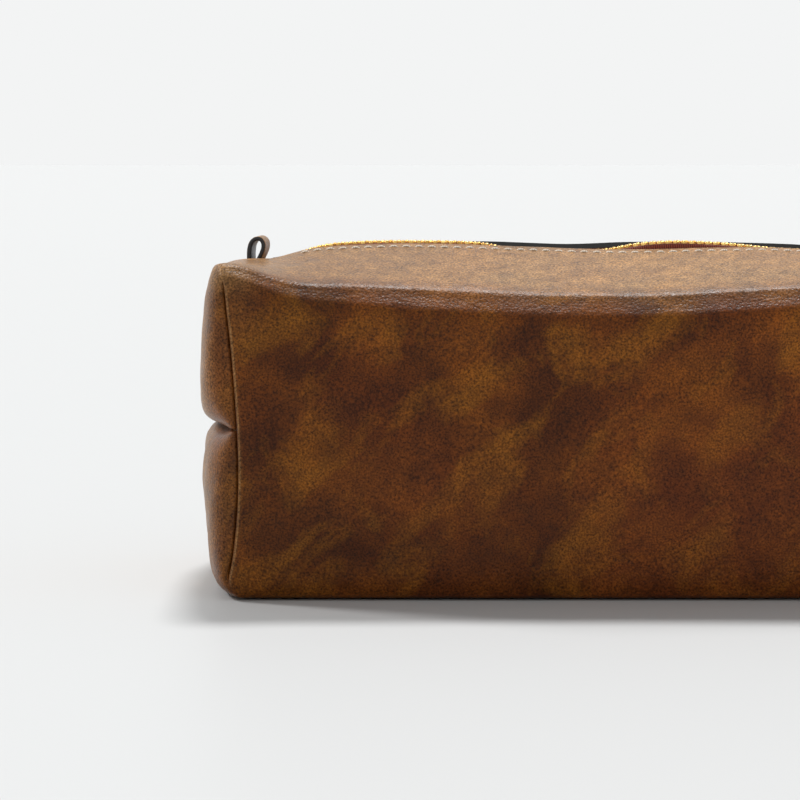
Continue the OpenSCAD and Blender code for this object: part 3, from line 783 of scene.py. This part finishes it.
def toothShape():
    deselect()
    bpy.ops.mesh.primitive_cube_add(size=1, location=(0, (tooth["head"] - tooth["back"]) / 2, 0))
    piece = bpy.context.object
    piece.scale = (tooth["thick"], tooth["head"] + tooth["back"], tooth["height"])
    bpy.ops.object.transform_apply(location=True, rotation=False, scale=True)
    bpy.ops.object.mode_set(mode="EDIT")
    # long edges on top
    editSelect(piece, "edges", lambda e: all(v.co.z > 0 for v in e.verts) and lengthInY(e) > 1)
    bpy.ops.mesh.bevel(offset=tooth["topRound"], segments=3)
    # domed head
    editSelect(piece, "faces", lambda f: f.normal.y > 0.9)
    bpy.ops.mesh.inset(thickness=tooth["headInset"])
    bpy.ops.transform.translate(value=(0, tooth["headDome"], 0))
    # edges round the back
    editSelect(piece, "edges", lambda e: all(v.co.y < 0 for v in e.verts) and lengthInY(e) < 0.01)
    bpy.ops.mesh.bevel(offset=tooth["backRound"], segments=2, clamp_overlap=True)
    bpy.ops.object.mode_set(mode="OBJECT")
    for v in piece.data.vertices:
        if v.co.y < tooth["bulbFrom"]:
            v.co.x *= tooth["bulb"]
    return template(piece)


toothPoints, toothFaces = toothShape()


def toothRow(side, hand):
    verts, faces = [], []
    for i in range(tooth["count"]):
        x = tooth["first"] + (i + (0.5 if side > 0 else 0)) * tooth["pitch"]
        if (x < 0) != (hand < 0):
            continue
        slope = math.atan(chainZ(x + 0.5) - chainZ(x - 0.5))
        c, s = math.cos(slope), math.sin(slope)
        p = toothPoints.copy()
        if side > 0:
            p = p * [-1, -1, 1]
        turned = np.stack([p[:, 0] * c - p[:, 2] * s + x, p[:, 1], p[:, 0] * s + p[:, 2] * c + chainZ(x)], axis=1)
        start = len(verts)
        verts.extend((turned * mm).tolist())
        faces.extend([[v + start for v in f] for f in toothFaces])
    piece = fromParts(frontBack[side] + "Teeth" + leftRight[hand].capitalize(), verts, faces, brass)
    openWith(piece)
    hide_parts("teeth_" + frontBack[side])


for side, hand in quarters:
    toothRow(side, hand)
print("zipper made")


# Stitches: a plump length of thread whose ends dip into their holes
stitch = {
    "pitch": 4.0, "length": 2.9, "radius": 0.5, "flat": 0.7, "taper": 0.35, "dip": 0.5,
    "fromEdge": 3.4, "reach": 22, "slant": 4.0, "lift": 0.16,
}


def stitchShape():
    deselect()
    bpy.ops.mesh.primitive_cylinder_add(vertices=8, radius=stitch["radius"], depth=stitch["length"])
    piece = bpy.context.object
    bpy.ops.object.mode_set(mode="EDIT")
    bpy.ops.mesh.select_all(action="SELECT")
    bpy.ops.transform.rotate(value=math.radians(90), orient_axis="Y", center_override=(0, 0, 0))
    for place in (-0.9, -0.45, 0.0, 0.45, 0.9):
        bpy.ops.mesh.select_all(action="SELECT")
        bpy.ops.mesh.bisect(plane_co=(place * stitch["length"] / 2, 0, 0), plane_no=(1, 0, 0))
    bpy.ops.object.mode_set(mode="OBJECT")
    for v in piece.data.vertices:
        t = abs(v.co.x) / (stitch["length"] / 2)
        v.co.y *= 1 - stitch["taper"] * t ** 4
        v.co.z *= 1 - stitch["taper"] * t ** 4
        v.co.z = v.co.z * stitch["flat"] - stitch["dip"] * t ** 3
    return template(piece)


stitchPoints, stitchFaces = stitchShape()


def layStitches(name, places):
    # places are (point in mm, direction along, direction up)
    verts, faces = [], []
    for centre, forward, up in places:
        forward = np.array(forward) / np.linalg.norm(forward)
        up = np.array(up) - forward * np.dot(up, forward)
        up = up / np.linalg.norm(up)
        across = np.cross(up, forward)
        p = np.array(centre) + stitchPoints @ np.stack([forward, across, up])
        start = len(verts)
        verts.extend((p * mm).tolist())
        faces.extend([[v + start for v in f] for f in stitchFaces])
    piece = fromParts(name, verts, faces, thread)
    return piece


def topStitch(side, hand):
    w = bag["lipW"] + stitch["fromEdge"]
    slant = math.tan(math.radians(stitch["slant"]))
    places = []
    for i in range(-stitch["reach"], stitch["reach"] + 1):
        x = i * stitch["pitch"]
        if (x < 0) != (hand < 0):
            continue
        rise = (lipZ(x + 1, w, side) - lipZ(x - 1, w, side)) / 2
        lean = (lipZ(x, w + 1, side) - lipZ(x, w - 1, side)) / 2
        centre = (x, side * w, lipZ(x, w, side) + stitch["lift"])
        places.append((centre, (1, slant * side, rise), (-rise, -lean * side, 1)))
    piece = layStitches(frontBack[side] + "Stitches" + leftRight[hand].capitalize(), places)
    openWith(piece)
    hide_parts("topstitch_" + frontBack[side])


for side, hand in quarters:
    topStitch(side, hand)
print("stitches made")


# Loop tabs: a leather strap bent into a leaning eye, cut edges inked black
loop = {
    # the strap's pale share is painted light, standing in for the light on its faces
    "x": 102.7, "z": 99.6, "strapW": 12.0, "thick": 1.3, "yaw": -5.0, "rows": 40, "cols": 7, "paleAndLit": 0.6,
    "burnish": 0.3,
    "path": [(-3.15, -0.6), (-3.25, 2.0), (-3.3, 4.8), (-2.4, 7.8), (0.3, 9.2), (2.5, 7.8), (2.9, 5.4), (2.0, 3.0),
             (0.9, 0.9), (0.2, -0.6)],
}


def roundEdges(piece, name, width, segments, sharper):
    # rounds over the edges that turn by more than that many degrees
    bevel = piece.modifiers.new(name, "BEVEL")
    bevel.width = width * mm
    bevel.segments = segments
    bevel.limit_method = "ANGLE"
    bevel.angle_limit = math.radians(sharper)
    applyAll(piece)


def loopTab(hand):
    path = np.array(loop["path"])
    line = splineBasis(np.linspace(0, 1, loop["rows"]), len(path)) @ path
    across = np.linspace(-0.5, 0.5, loop["cols"]) * loop["strapW"]
    gx = np.repeat(line[:, :1], loop["cols"], axis=1)
    gz = np.repeat(line[:, 1:], loop["cols"], axis=1)
    gy = np.repeat(across[None, :], loop["rows"], axis=0)
    yaw = math.radians(loop["yaw"])
    x = gx * math.cos(yaw) - gy * math.sin(yaw)
    y = gx * math.sin(yaw) + gy * math.cos(yaw)
    p = np.stack([hand * (loop["x"] - x), y, loop["z"] + gz], axis=-1)
    if hand < 0:
        p = p[:, ::-1]
    piece = clothGrid(leftRight[hand] + "LoopTab", p, leather, inkedEdge)
    # the strap is painted pale all over, standing in for the light on its faces, partly paler hide
    setWearAndLight(piece, np.full(p.shape[:2], loop["paleAndLit"]))
    thicken(piece, loop["thick"], 1, 1)
    roundEdges(piece, "burnish", loop["burnish"], 2, 60)
    keepRest(piece)
    smooth(piece)
    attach(piece, "body")
    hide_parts(leftRight[hand] + "_loop_tab")


for hand in (-1, 1):
    loopTab(hand)
print("loops made")


# Slider, pull and stops: the CAD solids with their edges rounded over
metal = {
    "slider_body": ("slider", 0.3), "slider_bridge": ("slider", 0.3), "pull_tab": ("pull", 0.32),
    "top_stops": ("body", 0.2), "bottom_stop": ("body", 0.3),
}
bottomStop = {"x": -95.5, "cadZ": 103.0}
for node, (body, rounding) in metal.items():
    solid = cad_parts[node]
    piece = bpy.data.objects.new(node + "Rounded", solid.data.copy())
    bpy.context.scene.collection.objects.link(piece)
    piece.matrix_world = solid.matrix_world.copy()
    piece.data.materials.clear()
    if node == "bottom_stop":
        # the chain dips here
        piece.location.z += (float(chainZ(bottomStop["x"])) - bottomStop["cadZ"]) * mm
    activate(piece)
    bpy.ops.object.transform_apply(location=True, rotation=True, scale=True)
    bpy.ops.object.mode_set(mode="EDIT")
    bpy.ops.mesh.select_all(action="SELECT")
    bpy.ops.mesh.remove_doubles(threshold=0.00001)
    bpy.ops.mesh.dissolve_limited(angle_limit=math.radians(2))
    bpy.ops.object.mode_set(mode="OBJECT")
    roundEdges(piece, "tumbled", rounding, 3, 40)
    dress(piece, brass)
    smooth(piece)
    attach(piece, body)
    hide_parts(node)
print("slider and pull made")


# Thread on the loops' tails and inside the end seams, where the CAD solids show
tabStitch = {"x": 107.6, "z": 100.25, "pitch": 4.0}
for hand, name in leftRight.items():
    places = [((hand * tabStitch["x"], i * tabStitch["pitch"], tabStitch["z"]), (0, 1, 0), (0, 0, 1))
              for i in (-1, 0, 1)]
    piece = layStitches(name + "TabStitches", places)
    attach(piece, "body")
    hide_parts(name + "_tab_stitches")
    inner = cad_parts[name + "_end_seam_thread"]
    inner.data.materials.clear()
    dress(inner, thread)


# Plain pale table and soft studio light from above and behind; the sky shows at full strength and lights at ambient
stageSet = {
    "floor": "#D7D8D8", "floorSize": 30, "floorZ": -0.0002, "floorRough": 0.5, "gloss": 0.15,
    "background": "#F3F4F4", "ambient": 0.42,
    "suns": [("windowLight", (-0.72, 0.36, 0.68), 1.3, 12.0), ("ceilingLight", (0.05, 0.42, 0.9), 2.1, 10.0)],
}
deselect()
bpy.ops.mesh.primitive_plane_add(size=stageSet["floorSize"], location=(0, 0, stageSet["floorZ"]))
floor = bpy.context.object
floor.name = "floor"
# Painted table top: smooth matt white with a faint gloss
floorPaint = surface(newMaterial("paleTable"), {
    "Base Color": hexColour(stageSet["floor"]), "Roughness": stageSet["floorRough"],
    "Specular IOR Level": stageSet["gloss"]}, None)
dress(floor, floorPaint)

world = bpy.data.worlds.new("studio")
bpy.context.scene.world = world
world.use_nodes = True
world.node_tree.nodes.clear()
lightPath = addNode(world, "ShaderNodeLightPath")
seen = addNode(world, "ShaderNodeMath", {"operation": "MAXIMUM"}, {
    0: lightPath.outputs["Is Camera Ray"], 1: lightPath.outputs["Is Glossy Ray"]})
seenToo = addNode(world, "ShaderNodeMath", {"operation": "MAXIMUM"}, {
    0: seen.outputs["Value"], 1: lightPath.outputs["Is Transmission Ray"]})
skyStrength = addNode(world, "ShaderNodeMapRange", {"To Min": stageSet["ambient"], "To Max": 1.0}, {
    "Value": seenToo.outputs["Value"]})
sky = addNode(world, "ShaderNodeBackground", {"Color": hexColour(stageSet["background"])}, {
    "Strength": skyStrength.outputs["Result"]})
addNode(world, "ShaderNodeOutputWorld", None, {"Surface": sky.outputs["Background"]})

for name, towards, energy, spread in stageSet["suns"]:
    lamp = bpy.data.lights.new(name, "SUN")
    lamp.energy = energy
    lamp.angle = math.radians(spread)
    holder = bpy.data.objects.new(name, lamp)
    way = np.array(towards) / np.linalg.norm(towards)
    holder.rotation_euler = (math.acos(way[2]), 0, math.atan2(way[0], -way[1]))
    bpy.context.scene.collection.objects.link(holder)
bpy.context.scene.view_settings.view_transform = "Standard"
print("stage set")
